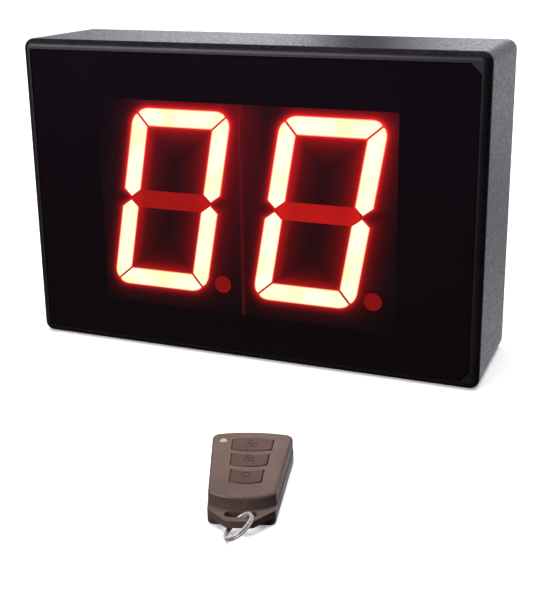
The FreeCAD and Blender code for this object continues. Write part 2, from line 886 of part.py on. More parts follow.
def make_regulator():
    """A three-legged regulator standing on the board with its tab flat against a finned heat sink."""
    x, y = REGULATOR
    regulator = new_body("regulator")
    tab = new_sketch(regulator, "tab", f"{BOARD_BACK} - regulator_lift")
    centred(tab, x, f"{y} + regulator_tab/2", "regulator_width", "regulator_tab")
    pad(regulator, tab, "regulator_height", downward=True)
    block = new_sketch(regulator, "block", f"{BOARD_BACK} - regulator_lift")
    centred(block, x, f"{y} - regulator_body/2", "regulator_width", "regulator_body")
    pad(regulator, block, "regulator_block", downward=True)
    legs = new_sketch(regulator, "legs", BOARD_BACK)
    for step in (-1, 0, 1):
        centred(legs, f"{x} + {step}*leg_pitch", f"{y} - regulator_body/2", "leg_width", "leg_thickness")
    pad(regulator, legs, "regulator_lift", downward=True)
    stand(regulator)

    sink = new_body("heat_sink")
    profile = new_sketch(sink, "profile", BOARD_BACK)
    back = f"({y} + regulator_tab)"
    corners = [(f"{x} - sink_width/2", back), (f"{x} + sink_width/2", back)]
    fins = 5
    pitch = f"((sink_width - sink_fin)/{fins - 1})"
    for fin in reversed(range(fins)):
        left = f"{x} - sink_width/2 + {fin}*{pitch}"
        if fin < fins - 1:
            corners.append((f"{left} + sink_fin", f"{back} + sink_plate"))
        corners.append((f"{left} + sink_fin", f"{back} + sink_depth"))
        corners.append((left, f"{back} + sink_depth"))
        if fin > 0:
            corners.append((left, f"{back} + sink_plate"))
    outline(profile, corners)
    pad(sink, profile, "sink_height", downward=True)
    stand(sink)


RECEIVER = on_board("receiver_x", "receiver_y")
POWER_HEADER = on_board("power_header_x", "power_header_y")
BUZZER_HEADER = on_board("buzzer_header_x", "buzzer_header_y")


def make_receiver():
    """The radio receiver: a small card on a pin header, with a tuned can on it."""
    x, y = RECEIVER
    receiver = new_body("radio_receiver")
    header = new_sketch(receiver, "header", BOARD_BACK)
    centred(header, x, f"{y} - receiver_width/2 + leg_pitch/2", "4*leg_pitch", "leg_pitch")
    pad(receiver, header, "receiver_lift", downward=True)
    card = new_sketch(receiver, "card", f"{BOARD_BACK} - receiver_lift")
    centred(card, x, y, "receiver_length", "receiver_width")
    pad(receiver, card, "receiver_board", downward=True)
    can = new_sketch(receiver, "can", f"{BOARD_BACK} - receiver_lift - receiver_board")
    centred(can, x, y, "can_side", "can_side")
    pad(receiver, can, "can_height", downward=True)
    stand(receiver)


def make_headers():
    """White sockets on the main board for the power and buzzer leads."""
    headers = new_body("lead_headers")
    blocks = new_sketch(headers, "blocks", BOARD_BACK)
    for x, y in (POWER_HEADER, BUZZER_HEADER):
        centred(blocks, x, y, "header_width", "header_length")
    pad(headers, blocks, "header_height", downward=True)
    stand(headers)


def tube(points, radius):
    """A round wire along straight runs joined by tangent arcs."""
    corners = [FreeCAD.Vector(*[value(part) for part in point]) for point in points]
    edges = []
    start = corners[0]
    for before, corner, after in zip(corners, corners[1:], corners[2:]):
        reach = 0.45 * min(before.distanceToPoint(corner), after.distanceToPoint(corner))
        arc_start = corner + (before - corner).normalize() * reach
        arc_end = corner + (after - corner).normalize() * reach
        half_angle = (before - corner).getAngle(after - corner) / 2
        inside = ((arc_start + arc_end) * 0.5 - corner).normalize()
        middle = corner + inside * reach * (1 - math.sin(half_angle)) / math.cos(half_angle)
        edges.append(Part.LineSegment(start, arc_start).toShape())
        edges.append(Part.Arc(arc_start, middle, arc_end).toShape())
        start = arc_end
    edges.append(Part.LineSegment(start, corners[-1]).toShape())
    section = Part.Wire(Part.Circle(corners[0], corners[1] - corners[0], value(radius)).toShape())
    return Part.Wire(edges).makePipeShell([section], True, False)


def make_shape(name, shape, put):
    """A piece whose shape is made in code, drawn lying and then put in its place."""
    piece = document.addObject("Part::Feature", name)
    piece.Label = name
    piece.Shape = shape
    put(piece)
    pieces.append(piece)


def make_leads():
    """The antenna, a quarter of a wavelength long, and the power and buzzer leads."""
    receiver_x, receiver_y = RECEIVER
    card_back = f"{BOARD_BACK} - receiver_lift - receiver_board"
    antenna_x = f"{receiver_x} + receiver_length/2 - antenna_inset"
    antenna_y = f"{receiver_y} + receiver_width/2 - antenna_inset"
    antenna_z = f"{card_back} - antenna_lift"
    antenna = [
        (antenna_x, antenna_y, card_back),
        (antenna_x, antenna_y, antenna_z),
        (antenna_x, f"{antenna_y} + antenna_climb", antenna_z),
        (f"{antenna_x} - antenna_run", f"{antenna_y} + antenna_climb", antenna_z),
    ]
    make_shape("antenna", tube(antenna, "antenna_radius"), stand)

    header_mouth = f"{BOARD_BACK} - header_height"
    inlet_end = f"-{HALF_WIDTH} + inlet_length + inlet_tab"
    power_x, power_y = POWER_HEADER
    power = []
    for sign in "-+":
        tab_y = f"{INLET_Y} {sign} inlet_bore"
        pin_y = f"{power_y} {sign} header_length/4"
        power.append(
            tube(
                [
                    (inlet_end, tab_y, "inlet_z"),
                    (f"{inlet_end} + lead_bend", tab_y, "inlet_z"),
                    (f"{inlet_end} + 2*lead_bend", f"{tab_y} + lead_bend", "inlet_z"),
                    (power_x, pin_y, f"{header_mouth} - lead_bend"),
                    (power_x, pin_y, header_mouth),
                ],
                "lead_radius",
            )
        )
    make_shape("power_leads", Part.makeCompound(power), stand)

    buzzer_top = "cover_thickness + buzzer_height"
    socket_x, socket_y = BUZZER_HEADER
    buzzer = []
    for sign in "-+":
        terminal_x = f"buzzer_x {sign} buzzer_radius/3"
        pin_y = f"{socket_y} {sign} header_length/4"
        buzzer.append(
            tube(
                [
                    (terminal_x, "buzzer_y", buzzer_top),
                    (terminal_x, "buzzer_y", f"{buzzer_top} + lead_bend"),
                    (socket_x, pin_y, f"{header_mouth} - lead_bend"),
                    (socket_x, pin_y, header_mouth),
                ],
                "lead_radius",
            )
        )
    make_shape("buzzer_leads", Part.makeCompound(buzzer), stand)


# Buzzer and power inlet ----------------------------------------------------------------------------


def make_buzzer():
    """A piezo sounder glued inside the rear cover, its mouth at the sound holes."""
    buzzer = new_body("buzzer")
    can = new_sketch(buzzer, "can", "cover_thickness")
    circles(can, [("buzzer_x", "buzzer_y")], "buzzer_radius")
    pad(buzzer, can, "buzzer_height")
    mouth = new_sketch(buzzer, "mouth", "cover_thickness")
    circles(mouth, [("buzzer_x", "buzzer_y")], "buzzer_mouth")
    cut(buzzer, mouth, "buzzer_mouth_depth")
    stand(buzzer)


def make_inlet():
    """A round power inlet through the left wall, held by a nut inside."""
    centre = [(INLET_Y, "inlet_z")]
    outside = f"-{HALF_WIDTH} - inlet_flange_thickness"
    inlet = new_body("power_inlet")
    flange = new_sketch(inlet, "flange", outside, "YZ_Plane")
    circles(flange, centre, "inlet_flange")
    pad(inlet, flange, "inlet_flange_thickness")
    barrel = new_sketch(inlet, "barrel", f"-{HALF_WIDTH}", "YZ_Plane")
    circles(barrel, centre, "inlet_barrel")
    pad(inlet, barrel, "inlet_length")
    bore = new_sketch(inlet, "bore", outside, "YZ_Plane")
    circles(bore, centre, "inlet_bore")
    cut(inlet, bore, "inlet_bore_depth")
    pin = new_sketch(inlet, "pin", f"{outside} + inlet_bore_depth - inlet_pin_length", "YZ_Plane")
    circles(pin, centre, "inlet_pin")
    pad(inlet, pin, "inlet_pin_length")
    tabs = new_sketch(inlet, "tabs", f"-{HALF_WIDTH} + inlet_length", "YZ_Plane")
    for sign in "-+":
        centred(tabs, f"{INLET_Y} {sign} inlet_bore", "inlet_z", "leg_width", "2*inlet_pin")
    pad(inlet, tabs, "inlet_tab")
    stand(inlet)

    nut = new_body("inlet_nut")
    hexagon = new_sketch(nut, "hexagon", f"-{HALF_WIDTH} + wall", "YZ_Plane")
    outline(hexagon, sixfold(INLET_Y, "inlet_z", "inlet_nut_radius"))
    circles(hexagon, centre, "inlet_barrel")
    pad(nut, hexagon, "inlet_nut_thickness")
    stand(nut)


# Remote --------------------------------------------------------------------------------------------

FOB_SEAM = "fob_lower_height"
FOB_FACE = "(fob_lower_height + fob_upper_height)"
FOB_CEILING = f"({FOB_FACE} - fob_wall)"
FOB_BOARD_TOP = "(fob_board_bottom + fob_board_thickness)"
FLANGE_TOP = f"({FOB_CEILING} - key_stop_gap)"
FLANGE_BOTTOM = f"({FLANGE_TOP} - key_flange_thickness)"
SWITCH_TOP = f"({FOB_BOARD_TOP} + switch_height)"
BAR_Y = "(fob_tail + tail_bar/2)"
KEY_X = "fob_key_x"
KEYS = {"upper": "top", "middle": "middle", "lower": "low"}
FOB_SCREWS = [(f"{sign}fob_screw_x", "fob_screw_y") for sign in "-+"]


def fob_half(y):
    """Half the remote's width at y, on its straight tapering sides."""
    return f"(fob_waist_half + (fob_top_half - fob_waist_half)*(({y}) - fob_waist)/(fob_top - fob_waist))"


def fob_cavity(sketch, inset):
    low = f"fob_cavity_low + {inset}"
    high = f"fob_top - fob_wall - {inset}"
    side_low = f"({fob_half(low)} - fob_wall - {inset})"
    side_high = f"({fob_half(high)} - fob_wall - {inset})"
    top_corners = [(side_high, high, "fob_top_rise"), (f"-{side_high}", high)]
    outline(sketch, [(f"-{side_low}", low), (side_low, low), *top_corners])


def key_outline(sketch, key, growth, round_top):
    """A key's outline: straight tapering sides, the lower edge bowed out, and the upper edge bowed
    out on the first key and in on the others, which follows the key above."""
    top_half = f"({key}_key_half + {growth})"
    low_half = f"({key}_key_half - key_taper + {growth})"
    top = f"({key}_key_y + {key}_key_side/2 + {growth})"
    low = f"({key}_key_y - {key}_key_side/2 - {growth})"
    corners = [
        (f"{KEY_X} - {low_half}", low, "key_bulge"),
        (f"{KEY_X} + {low_half}", low),
        (f"{KEY_X} + {top_half}", top, "key_bulge" if round_top else "-key_bulge"),
        (f"{KEY_X} - {top_half}", top),
    ]
    outline(sketch, corners)


def make_lower_shell():
    shell = new_body("remote_lower_shell")
    block = new_sketch(shell, "block")
    corners = [
        ("fob_tail_half", "fob_tail"),
        ("fob_waist_half", "fob_waist"),
        ("fob_top_half", "fob_top", "fob_top_rise"),
        ("-fob_top_half", "fob_top"),
        ("-fob_waist_half", "fob_waist"),
        ("-fob_tail_half", "fob_tail"),
    ]
    outline(block, corners)
    pad(shell, block, FOB_SEAM)
    top = value("fob_top") - SMALL
    soften(shell, "Fillet", "fob_corner", lambda box: upright(box) and box.YMin > top)
    soften(shell, "Fillet", "fob_waist_round", lambda box: upright(box) and box.YMin < 0)
    soften(shell, "Fillet", "fob_lower_round", level_at("0"))
    undercut = new_sketch(shell, "undercut")
    rectangle(undercut, "-fob_top_half", "fob_top_half", "fob_tail - tail_bar", "tail_start")
    cut(shell, undercut, "tail_low")
    slot = new_sketch(shell, "slot", "tail_low")
    middle = "fob_tail + tail_bar + slot_width/2"
    straight = "(slot_length - slot_width)/2"
    corners = [
        (f"-{straight}", f"{middle} - slot_width/2"),
        (straight, f"{middle} - slot_width/2", "slot_width/2"),
        (straight, f"{middle} + slot_width/2"),
        (f"-{straight}", f"{middle} + slot_width/2", "slot_width/2"),
    ]
    outline(slot, corners)
    cut(shell, slot, FOB_SEAM)
    cavity = new_sketch(shell, "cavity", "fob_wall")
    fob_cavity(cavity, "0")
    cut(shell, cavity, FOB_SEAM)
    rests = new_sketch(shell, "rests", "fob_wall")
    circles(rests, FOB_SCREWS, "fob_boss_radius")
    centred(rests, "0", "fob_cavity_low + fob_rest/2", "fob_rest_width", "fob_rest")
    pad(shell, rests, "fob_board_bottom - fob_wall")
    counterbores = new_sketch(shell, "counterbores")
    circles(counterbores, FOB_SCREWS, "fob_screw_head + head_gap")
    cut(shell, counterbores, "fob_screw_recess")
    holes = new_sketch(shell, "holes")
    circles(holes, FOB_SCREWS, "fob_screw_radius")
    cut(shell, holes, "fob_board_bottom")
    lay(shell)


def make_upper_shell():
    shell = new_body("remote_upper_shell")
    block = new_sketch(shell, "block", FOB_SEAM)
    end_half = f"({fob_half('fob_upper_end')} - fob_upper_inset)"
    corners = [
        (f"-{end_half}", "fob_upper_end", "fob_upper_end_rise"),
        (end_half, "fob_upper_end"),
        ("fob_top_half - fob_upper_inset", "fob_top - fob_upper_inset", "fob_top_rise"),
        ("-fob_top_half + fob_upper_inset", "fob_top - fob_upper_inset"),
    ]
    outline(block, corners)
    pad(shell, block, "fob_upper_height")
    top = value("fob_top - fob_upper_inset") - SMALL
    soften(shell, "Fillet", "fob_corner", lambda box: upright(box) and box.YMin > top)
    soften(shell, "Fillet", "fob_end_corner", lambda box: upright(box) and box.YMin < 0)
    soften(shell, "Fillet", "fob_upper_round", level_at(FOB_FACE))
    cavity = new_sketch(shell, "cavity", FOB_SEAM)
    fob_cavity(cavity, "0")
    cut(shell, cavity, "fob_upper_height - fob_wall")
    bosses = new_sketch(shell, "bosses", FOB_BOARD_TOP)
    circles(bosses, FOB_SCREWS, "fob_boss_radius")
    pad(shell, bosses, f"{FOB_CEILING} - {FOB_BOARD_TOP}")
    pilots = new_sketch(shell, "pilots", FOB_BOARD_TOP)
    circles(pilots, FOB_SCREWS, "fob_screw_radius")
    cut(shell, pilots, f"fob_screw_recess + fob_screw_length - {FOB_BOARD_TOP}")
    for name, key in KEYS.items():
        hole = new_sketch(shell, f"{name}_key_hole", FOB_CEILING)
        key_outline(hole, key, "key_gap", key == "top")
        cut(shell, hole, "2*fob_wall")
    lamp = new_sketch(shell, "lamp_hole", FOB_CEILING)
    circles(lamp, [("lamp_x", "lamp_y")], "lamp_radius + fob_lamp_gap")
    cut(shell, lamp, "2*fob_wall")
    lay(shell)


def make_key(name, key):
    """A moulded key whose flange keeps it in the shell, and the switch plunger under it."""
    cap = new_body(f"{name}_key")
    flange = new_sketch(cap, "flange", FLANGE_BOTTOM)
    key_outline(flange, key, "key_flange", key == "top")
    pad(cap, flange, "key_flange_thickness")
    face = new_sketch(cap, "face", FLANGE_BOTTOM)
    key_outline(face, key, "0", key == "top")
    pad(cap, face, f"{FOB_FACE} + key_proud - {FLANGE_BOTTOM}")
    top = value(FOB_FACE)
    soften(cap, "Fillet", "key_corner", lambda box: upright(box) and box.ZMax > top)
    soften(cap, "Fillet", "key_round", level_at(f"{FOB_FACE} + key_proud"))
    lay(cap)

    plunger = new_body(f"{name}_plunger")
    stem = new_sketch(plunger, "stem", f"{SWITCH_TOP} - plunger_depth")
    circles(stem, [(KEY_X, f"{key}_key_y")], "plunger_radius")
    pad(plunger, stem, f"{FLANGE_BOTTOM} - {SWITCH_TOP} + plunger_depth")
    lay(plunger)


def make_remote_board():
    board = new_body("remote_board")
    card = new_sketch(board, "card", "fob_board_bottom")
    fob_cavity(card, "fob_board_gap")
    circles(card, FOB_SCREWS, "fob_screw_radius + head_gap")
    pad(board, card, "fob_board_thickness")
    lay(board)

    switches = new_body("remote_switches")
    cases = new_sketch(switches, "cases", FOB_BOARD_TOP)
    centres = [(KEY_X, f"{key}_key_y") for key in KEYS.values()]
    for x, y in centres:
        centred(cases, x, y, "switch_side", "switch_side")
    pad(switches, cases, "switch_height")
    bores = new_sketch(switches, "bores", SWITCH_TOP)
    circles(bores, centres, "plunger_radius + plunger_gap")
    cut(switches, bores, "plunger_depth + key_travel + key_stop_gap", upward=False)
    lay(switches)

    for name, width, length in (
        ("encoder", "encoder_width", "encoder_length"),
        ("resonator", "resonator_side", "resonator_side"),
    ):
        package = new_body(f"remote_{name}")
        case = new_sketch(package, "case", FOB_BOARD_TOP)
        centred(case, f"{name}_x", f"{name}_y", width, length)
        pad(package, case, "fob_package_height")
        lay(package)


def make_remote_lamp():
    """The indicator lamp: a domed lens standing on the remote's board."""
    lamp = new_body("remote_lamp")
    stem = new_sketch(lamp, "stem", FOB_BOARD_TOP)
    circles(stem, [("lamp_x", "lamp_y")], "lamp_radius")
    pad(lamp, stem, f"{FOB_FACE} + lamp_proud - {FOB_BOARD_TOP}")
    soften(lamp, "Fillet", "lamp_radius/2", level_at(f"{FOB_FACE} + lamp_proud"))
    lay(lamp)


def make_remote_cell():
    """A coin cell under the board, and the clip that touches it."""
    cell = new_body("remote_cell")
    coin = new_sketch(cell, "coin", "fob_wall")
    circles(coin, [("0", "cell_y")], "cell_radius")
    pad(cell, coin, "cell_height")
    soften(cell, "Fillet", "cell_edge", level_at("fob_wall"))
    lay(cell)

    clip = new_body("cell_clip")
    strap = new_sketch(clip, "strap", "fob_board_bottom - clip_thickness")
    half = "(cell_radius + head_gap + clip_thickness)"
    centred(strap, "0", "cell_y", f"2*{half}", "clip_width")
    pad(clip, strap, "clip_thickness")
    legs = new_sketch(clip, "legs", "fob_wall")
    for sign in "-+":
        centred(legs, f"{sign}({half} - clip_thickness/2)", "cell_y", "clip_thickness", "clip_width")
    pad(clip, legs, "fob_board_bottom - fob_wall")
    dimple = new_sketch(clip, "dimple", "fob_wall + cell_height")
    circles(dimple, [("0", "cell_y")], "plunger_radius")
    pad(clip, dimple, "fob_board_bottom - fob_wall - cell_height")
    lay(clip)


def make_remote_screws():
    screws = new_body("remote_screws")
    heads = new_sketch(screws, "heads", "fob_screw_recess - fob_head_height")
    circles(heads, FOB_SCREWS, "fob_screw_head")
    pad(screws, heads, "fob_head_height")
    shanks = new_sketch(screws, "shanks", "fob_screw_recess")
    circles(shanks, FOB_SCREWS, "fob_screw_radius")
    pad(screws, shanks, "fob_screw_length")
    lay(screws)


def make_key_ring():
    """A split ring of two turns, through the slot and round the bar of the remote's tail. Its left
    side rests on the ground and its right side is above the bar."""
    tilt = math.radians(value("ring_tilt"))
    axis = FreeCAD.Vector(-math.sin(tilt), 0, math.cos(tilt))
    height = value("ring_wire + ring_radius*sin(ring_tilt) + ring_turn_pitch/2*cos(ring_tilt)")
    centre = FreeCAD.Vector(0, value(f"{BAR_Y} - ring_reach"), height)
    turns = []
    for side in (-1, 1):
        middle = centre + axis * (side * value("ring_turn_pitch/2"))
        turns.append(Part.makeTorus(value("ring_radius"), value("ring_wire"), middle, axis))
    make_shape("key_ring", turns[0].fuse(turns[1]), lay)


# The whole model -----------------------------------------------------------------------------------


def make_timer():
    make_case_shell()
    make_window()
    make_rear_cover()
    make_screws("cover_screws", BOSSES, "head_recess", "cover_screw_length")
    through_cover = f"cover_thickness - {HEAD_TOP} + pillar_screw_length"
    make_screws("pillar_screws", PILLARS, "head_recess", through_cover)
    make_pillars()
    make_main_board()
    front = f"{BOARD_FRONT} + head_height"
    make_screws("board_screws", PILLARS, front, "board_thickness + pillar_screw_length", head_first=False)
    for side in MODULE_X:
        make_module(side)
    make_packages("microcontroller", [on_board("0", "controller_y")], "controller_length", legs=14)
    drivers = [on_board(f"driver_middle {sign} driver_pitch/2", "driver_y") for sign in "-+"]
    make_packages("segment_drivers", drivers, "driver_length", legs=9)
    make_crystal()
    make_capacitors()
    make_regulator()
    make_receiver()
    make_headers()
    make_leads()
    make_buzzer()
    make_inlet()


def make_remote():
    make_lower_shell()
    make_upper_shell()
    for name, key in KEYS.items():
        make_key(name, key)
    make_remote_board()
    make_remote_lamp()
    make_remote_cell()
    make_remote_screws()
    make_key_ring()


def export():
    document.recompute()
    for item in document.Objects:
        if "Invalid" in item.State or "Error" in item.State:
            raise RuntimeError(f"{item.Name} failed: {item.State}")
        if item.TypeId == "PartDesign::Pocket" and item.Shape.Volume >= item.BaseFeature.Shape.Volume:
            raise RuntimeError(f"{item.Name} cuts nothing")
    for piece in pieces:
        if piece.Shape.isNull() or not piece.Shape.isValid() or not piece.Shape.Solids:
            raise RuntimeError(f"{piece.Label} has no valid solid")
    os.makedirs("parts", exist_ok=True)
    for piece in pieces:
        piece.Shape.exportStep(f"parts/{piece.Label}.step")
        print(piece.Label, len(piece.Shape.Solids), round(piece.Shape.Volume, 1))


make_timer()
make_remote()
export()
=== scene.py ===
import math

import bpy
from mathutils import Matrix, Vector


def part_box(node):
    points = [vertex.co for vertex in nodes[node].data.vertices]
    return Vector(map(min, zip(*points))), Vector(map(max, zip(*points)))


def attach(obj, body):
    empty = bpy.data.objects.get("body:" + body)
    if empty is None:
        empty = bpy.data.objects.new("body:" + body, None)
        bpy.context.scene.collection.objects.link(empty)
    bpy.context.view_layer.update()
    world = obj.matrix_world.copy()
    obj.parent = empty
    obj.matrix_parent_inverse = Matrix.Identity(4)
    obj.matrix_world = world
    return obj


# The look of a gym round timer and its key-fob remote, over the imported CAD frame. Metres.

MM = 0.001

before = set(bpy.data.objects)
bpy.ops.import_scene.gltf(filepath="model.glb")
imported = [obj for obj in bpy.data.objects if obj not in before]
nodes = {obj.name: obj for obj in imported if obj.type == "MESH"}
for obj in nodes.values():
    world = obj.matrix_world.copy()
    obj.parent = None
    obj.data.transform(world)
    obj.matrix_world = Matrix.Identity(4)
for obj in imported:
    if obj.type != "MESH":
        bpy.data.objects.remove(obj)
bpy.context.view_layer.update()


# Node trees ----------------------------------------------------------------------------------------


def add(tree, kind, inputs=None, **settings):
    """A node with its inputs set: a socket is linked, and anything else is its plain value."""
    node = tree.nodes.new(kind)
    for name, setting in settings.items():
        setattr(node, name, setting)
    for key, given in (inputs or {}).items():
        if isinstance(given, bpy.types.NodeSocket):
            tree.links.new(given, node.inputs[key])
        else:
            node.inputs[key].default_value = given
    return node


def calculate(tree, operation, first, second=0.0):
    return add(tree, "ShaderNodeMath", {0: first, 1: second}, operation=operation).outputs[0]


def weigh(tree, first, second, share):
    """The weighted mean of two numbers, of which the first has the share given."""
    rest = calculate(tree, "MULTIPLY", second, 1 - share)
    return calculate(tree, "ADD", calculate(tree, "MULTIPLY", first, share), rest)


def coordinates(tree, kind="Object"):
    return add(tree, "ShaderNodeTexCoord").outputs[kind]


def split(tree, vector):
    return add(tree, "ShaderNodeSeparateXYZ", {0: vector}).outputs


def noise(tree, scale, detail=2.0, roughness=0.5, place=None):
    """A noise pattern over the object, with about scale patches to a metre."""
    inputs = {"Vector": place or coordinates(tree), "Scale": scale, "Detail": detail, "Roughness": roughness}
    return add(tree, "ShaderNodeTexNoise", inputs).outputs["Fac"]


def spread(tree, factor, low, high, to_low=0.0, to_high=1.0):
    """A range of numbers stretched to another range, and held at its ends beyond them."""
    inputs = {"Value": factor, "From Min": low, "From Max": high, "To Min": to_low, "To Max": to_high}
    return add(tree, "ShaderNodeMapRange", inputs).outputs["Result"]


def ramp(tree, factor, stops):
    """A colour ramp. A stop is its place and its colour."""
    node = add(tree, "ShaderNodeValToRGB", {"Fac": factor})
    elements = node.color_ramp.elements
    while len(elements) < len(stops):
        elements.new(0.5)
    for element, (place, colour) in zip(elements, stops):
        element.position = place
        element.color = (*colour, 1.0)
    return node.outputs["Color"]


def bump(tree, height, distance):
    inputs = {"Height": height, "Distance": distance, "Strength": 1.0}
    return add(tree, "ShaderNodeBump", inputs).outputs["Normal"]


def blend(tree, way, first, second, factor=1.0):
    """Two colours added, multiplied or mixed."""
    inputs = {0: factor, 6: first, 7: second}
    return add(tree, "ShaderNodeMix", inputs, data_type="RGBA", blend_type=way).outputs[2]


def new_finish(name, **fixed):
    """A material and its tree and principled shader, with the shader's fixed values."""
    material = bpy.data.materials.new(name)
    material.use_nodes = True
    tree = material.node_tree
    shader = tree.nodes["Principled BSDF"]
    for key, given in fixed.items():
        socket = key.replace("_", " ").title().replace("Ior", "IOR")
        shader.inputs[socket].default_value = given
    return material, tree, shader


def feed(tree, shader, **links):
    """Link sockets to the shader's inputs of the same names."""
    for key, socket in links.items():
        tree.links.new(socket, shader.inputs[key.replace("_", " ").title()])


# Finishes ------------------------------------------------------------------------------------------


# Moulded plastic also changes slightly across a part, with this many patches to a metre.
MOULD_PATCHES = 35.0


def moulded(name, dark, light, roughness=0.45, grain=0.35, depth=0.03):
    """Moulded plastic with a spark-eroded grain: grain is its size and depth its height, in mm."""
    material, tree, shader = new_finish(name)
    fine = noise(tree, 1 / (grain * MM), detail=3.0, roughness=0.6)
    broad = noise(tree, MOULD_PATCHES, detail=4.0)
    feed(
        tree,
        shader,
        base_color=ramp(tree, weigh(tree, fine, broad, 0.6), [(0.35, dark), (0.65, light)]),
        roughness=spread(tree, broad, 0.3, 0.7, roughness - 0.05, roughness + 0.07),
        normal=bump(tree, fine, depth * MM),
    )
    return material


CASE_GRAIN = 1.2 * MM
CASE_GRAIN_DEPTH = 0.09 * MM
# The pattern's coordinates are scaled by this, which draws the grain out from front to back.
CASE_GRAIN_STRETCH = (1.0, 0.55, 1.0)
# The grain fades while the forward part of the surface's normal goes from the first to the second.
RIM_LEAN = (0.02, 0.25)
# What the rim keeps of the grain's swing, its middle tone, which is a painted highlight a little lighter than
# elsewhere, and how much rougher it is.
RIM_SWING = 0.6
RIM_PAINTED_HIGHLIGHT_TONE = 0.54
RIM_ROUGHNESS = 0.12


def case_finish():
    """Black moulded plastic with a coarse spark-eroded grain, which sparkles where the light grazes it
    and fades on the front rim's fillet and face, where the mould is polished. There its tone is painted a
    little lighter, a painted highlight."""
    material, tree, shader = new_finish("case_plastic")
    stretch = {"Vector": coordinates(tree), "Scale": CASE_GRAIN_STRETCH}
    drawn_out = add(tree, "ShaderNodeMapping", stretch).outputs[0]
    full = noise(tree, 1 / CASE_GRAIN, roughness=0.8, place=drawn_out)
    broad = noise(tree, MOULD_PATCHES, detail=4.0)
    forward = calculate(tree, "MULTIPLY", split(tree, coordinates(tree, "Normal"))["Y"], -1.0)
    rim = spread(tree, forward, *RIM_LEAN)
    kept = spread(tree, rim, 0.0, 1.0, 1.0, RIM_SWING)
    swing = calculate(tree, "MULTIPLY", calculate(tree, "SUBTRACT", full, 0.5), kept)
    # On the rim the middle tone is raised a little: a painted highlight.
    grain = calculate(tree, "ADD", swing, spread(tree, rim, 0.0, 1.0, 0.5, RIM_PAINTED_HIGHLIGHT_TONE))
    stops = [
        (0.40, (0.003, 0.0024, 0.0038)),
        (0.50, (0.006, 0.005, 0.007)),
        (0.60, (0.017, 0.014, 0.020)),
    ]
    roughness = spread(tree, grain, 0.36, 0.64, 0.38, 0.22)
    feed(
        tree,
        shader,
        base_color=ramp(tree, weigh(tree, grain, broad, 0.85), stops),
        roughness=calculate(tree, "ADD", roughness, calculate(tree, "MULTIPLY", rim, RIM_ROUGHNESS)),
        normal=bump(tree, grain, CASE_GRAIN_DEPTH),
    )
    return material


def smooth(name, dark, light, roughness=0.3, scale=150.0, **fixed):
    """A smooth finish with a slight change of tone and gloss across it."""
    material, tree, shader = new_finish(name, **fixed)
    mottle = noise(tree, scale, detail=3.0)
    feed(
        tree,
        shader,
        base_color=ramp(tree, mottle, [(0.3, dark), (0.7, light)]),
        roughness=spread(tree, mottle, 0.3, 0.7, roughness * 0.85, roughness * 1.15),
    )
    return material


def metal(name, dark, light, roughness=0.25, scale=400.0):
    return smooth(name, dark, light, roughness, scale, metallic=1.0)


SIDES = ("left", "right")

# The digits' sizes, as the CAD has them: half the width and height of the ring that the six lit bars
# make, a bar's width, the ring's outer rounding, and the tangent of the digits' slant.
DIGIT_HALF = (30.6 * MM, 53.25 * MM)
BAR = 10.5 * MM
ROUNDING = 10 * MM
SLANT = math.tan(math.radians(10))
# The lit upright bars end in points this far above and below the digit's centre, and from a point
# the bar's end slopes away to its sides.
TIP = 1.2 * MM
TIP_SLOPE = 4.4 / 5.25

NO_SHIFT = (0.0, 0.0)
# The bars' fainter image, a painted reflection which the window would throw, lies this far to the right and
# up of them.
FLARE = (3.0 * MM, 2.0 * MM)

# The emission strengths of the lit bars, and of the painted light on the surfaces that their light reaches.
LIT_STRENGTH = 24.0
GLOW_STRENGTH = 20.0


def from_ring(tree, side, shift=NO_SHIFT):
    """The distance from the middle line of a digit's ring of lit bars, negative inside the ring,
    and the height above or below the ring's centre. The ring may be shifted across and up."""
    low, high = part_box(f"{side}_lit_segments")
    middle = (low + high) / 2 + Vector((shift[0], 0, shift[1]))
    place = split(tree, coordinates(tree))
    up = calculate(tree, "SUBTRACT", place["Z"], middle.z)
    along = calculate(tree, "SUBTRACT", place["X"], middle.x)
    along = calculate(tree, "SUBTRACT", along, calculate(tree, "MULTIPLY", up, SLANT))
    corner = ROUNDING - BAR / 2
    past = [
        calculate(tree, "SUBTRACT", calculate(tree, "ABSOLUTE", away), half - ROUNDING)
        for away, half in zip((along, up), DIGIT_HALF)
    ]
    beyond = [calculate(tree, "POWER", calculate(tree, "MAXIMUM", out, 0.0), 2.0) for out in past]
    outside = calculate(tree, "SQRT", calculate(tree, "ADD", *beyond))
    inside = calculate(tree, "MINIMUM", calculate(tree, "MAXIMUM", *past), 0.0)
    return calculate(tree, "SUBTRACT", calculate(tree, "ADD", outside, inside), corner), up


def from_bars(tree, side, shift):
    """As from_ring, but with half a bar's width at the nearest bar's edge, so that it grows in the
    notches between the bars too."""
    away, up = from_ring(tree, side, shift)
    apart = calculate(tree, "ABSOLUTE", away)
    slope = calculate(tree, "MULTIPLY", apart, TIP_SLOPE)
    beyond = calculate(tree, "SUBTRACT", slope, calculate(tree, "ABSOLUTE", up))
    beyond = calculate(tree, "ADD", beyond, TIP)
    notch = calculate(tree, "MULTIPLY", beyond, math.cos(math.atan(TIP_SLOPE)))
    past = calculate(tree, "MAXIMUM", calculate(tree, "SUBTRACT", apart, BAR / 2), notch)
    return calculate(tree, "MULTIPLY", calculate(tree, "SIGN", away), calculate(tree, "ADD", past, BAR / 2))


